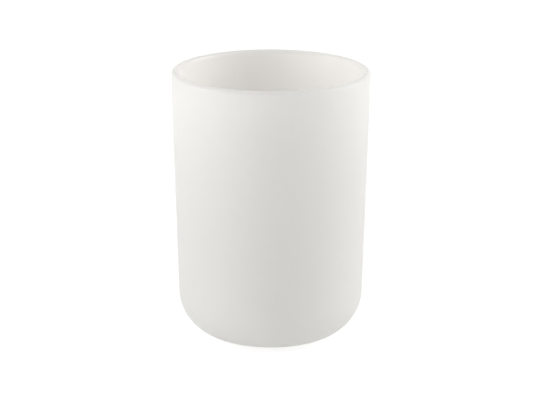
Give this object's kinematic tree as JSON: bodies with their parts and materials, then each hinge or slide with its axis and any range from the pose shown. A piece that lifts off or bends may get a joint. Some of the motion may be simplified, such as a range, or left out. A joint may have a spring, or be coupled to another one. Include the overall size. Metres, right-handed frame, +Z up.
{
  "type": "bathroom tumbler",
  "caption": "White moulded plastic tumbler with a rounded rim, a tapering wall and a large round corner above a small recessed base.",
  "frame": {"origin": "centre of the standing ring, on the plane the cup stands on", "axes": "+Z up along the cup's axis, from the base to the rim; X and Y are free, because the cup is round about Z"},
  "size_m": [0.075, 0.075, 0.103],
  "materials": {
    "shell_plastic": "satin"
  },
  "bodies": {
    "root": {"tumbler_shell": "shell_plastic"}
  },
  "joints": []
}
